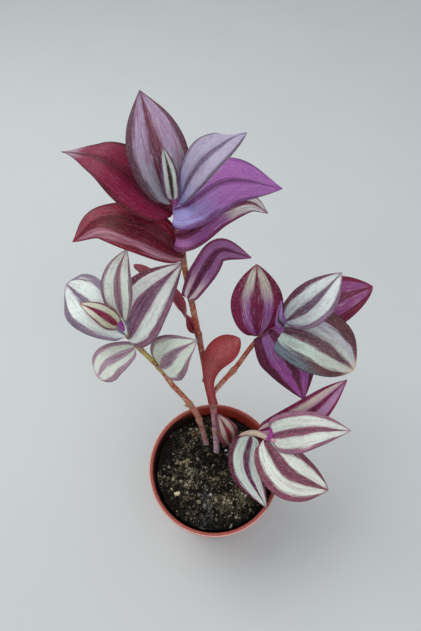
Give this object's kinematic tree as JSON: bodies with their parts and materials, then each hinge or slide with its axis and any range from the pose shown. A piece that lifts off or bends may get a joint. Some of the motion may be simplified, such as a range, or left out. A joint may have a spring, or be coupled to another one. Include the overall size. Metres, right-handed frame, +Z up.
{
  "type": "potted tradescantia",
  "caption": "Small trailing houseplant with striped purple leaves, rooted in dark peat in a thin-walled round plastic pot.",
  "frame": {"origin": "middle of the flat disc under the pot, on which it stands", "axes": "+Z up the pot's axis, +X to the right and +Y away from the viewer; the main stem leans towards +Y"},
  "size_m": [0.189, 0.1513, 0.2814],
  "materials": {
    "plastic": "terracotta-coloured, slightly dusty",
    "peat": "moist, crumbly",
    "stem": "fleshy, satin",
    "leaf_silver": "satin, silver stripes on mauve",
    "leaf_violet": "satin, violet stripes on maroon",
    "leaf_crimson": "satin, crimson",
    "leaf_coral": "matte underside"
  },
  "bodies": {
    "root": {"pot": "plastic", "soil": "peat", "main_stem": "stem", "left_stem": "stem", "short_stem": "stem", "main_leaf_1": "leaf_coral", "main_leaf_2": "leaf_crimson", "main_leaf_3": "leaf_violet", "main_leaf_4": "leaf_crimson", "main_leaf_5": "leaf_crimson", "main_leaf_6": "leaf_crimson", "main_leaf_7": "leaf_violet", "main_leaf_8": "leaf_violet", "main_leaf_9": "leaf_violet", "main_leaf_10": "leaf_violet", "left_leaf_1": "leaf_silver", "left_leaf_2": "leaf_silver", "left_leaf_3": "leaf_silver", "left_leaf_4": "leaf_silver", "left_leaf_5": "leaf_silver", "left_leaf_6": "leaf_silver", "right_leaf_1": "leaf_violet", "right_leaf_2": "leaf_silver", "right_leaf_3": "leaf_violet", "right_leaf_4": "leaf_silver", "right_leaf_5": "leaf_silver", "right_leaf_6": "leaf_violet", "short_leaf_1": "leaf_silver", "short_leaf_2": "leaf_violet", "short_leaf_3": "leaf_silver", "short_leaf_4": "leaf_silver", "short_leaf_5": "leaf_silver"}
  },
  "joints": []
}
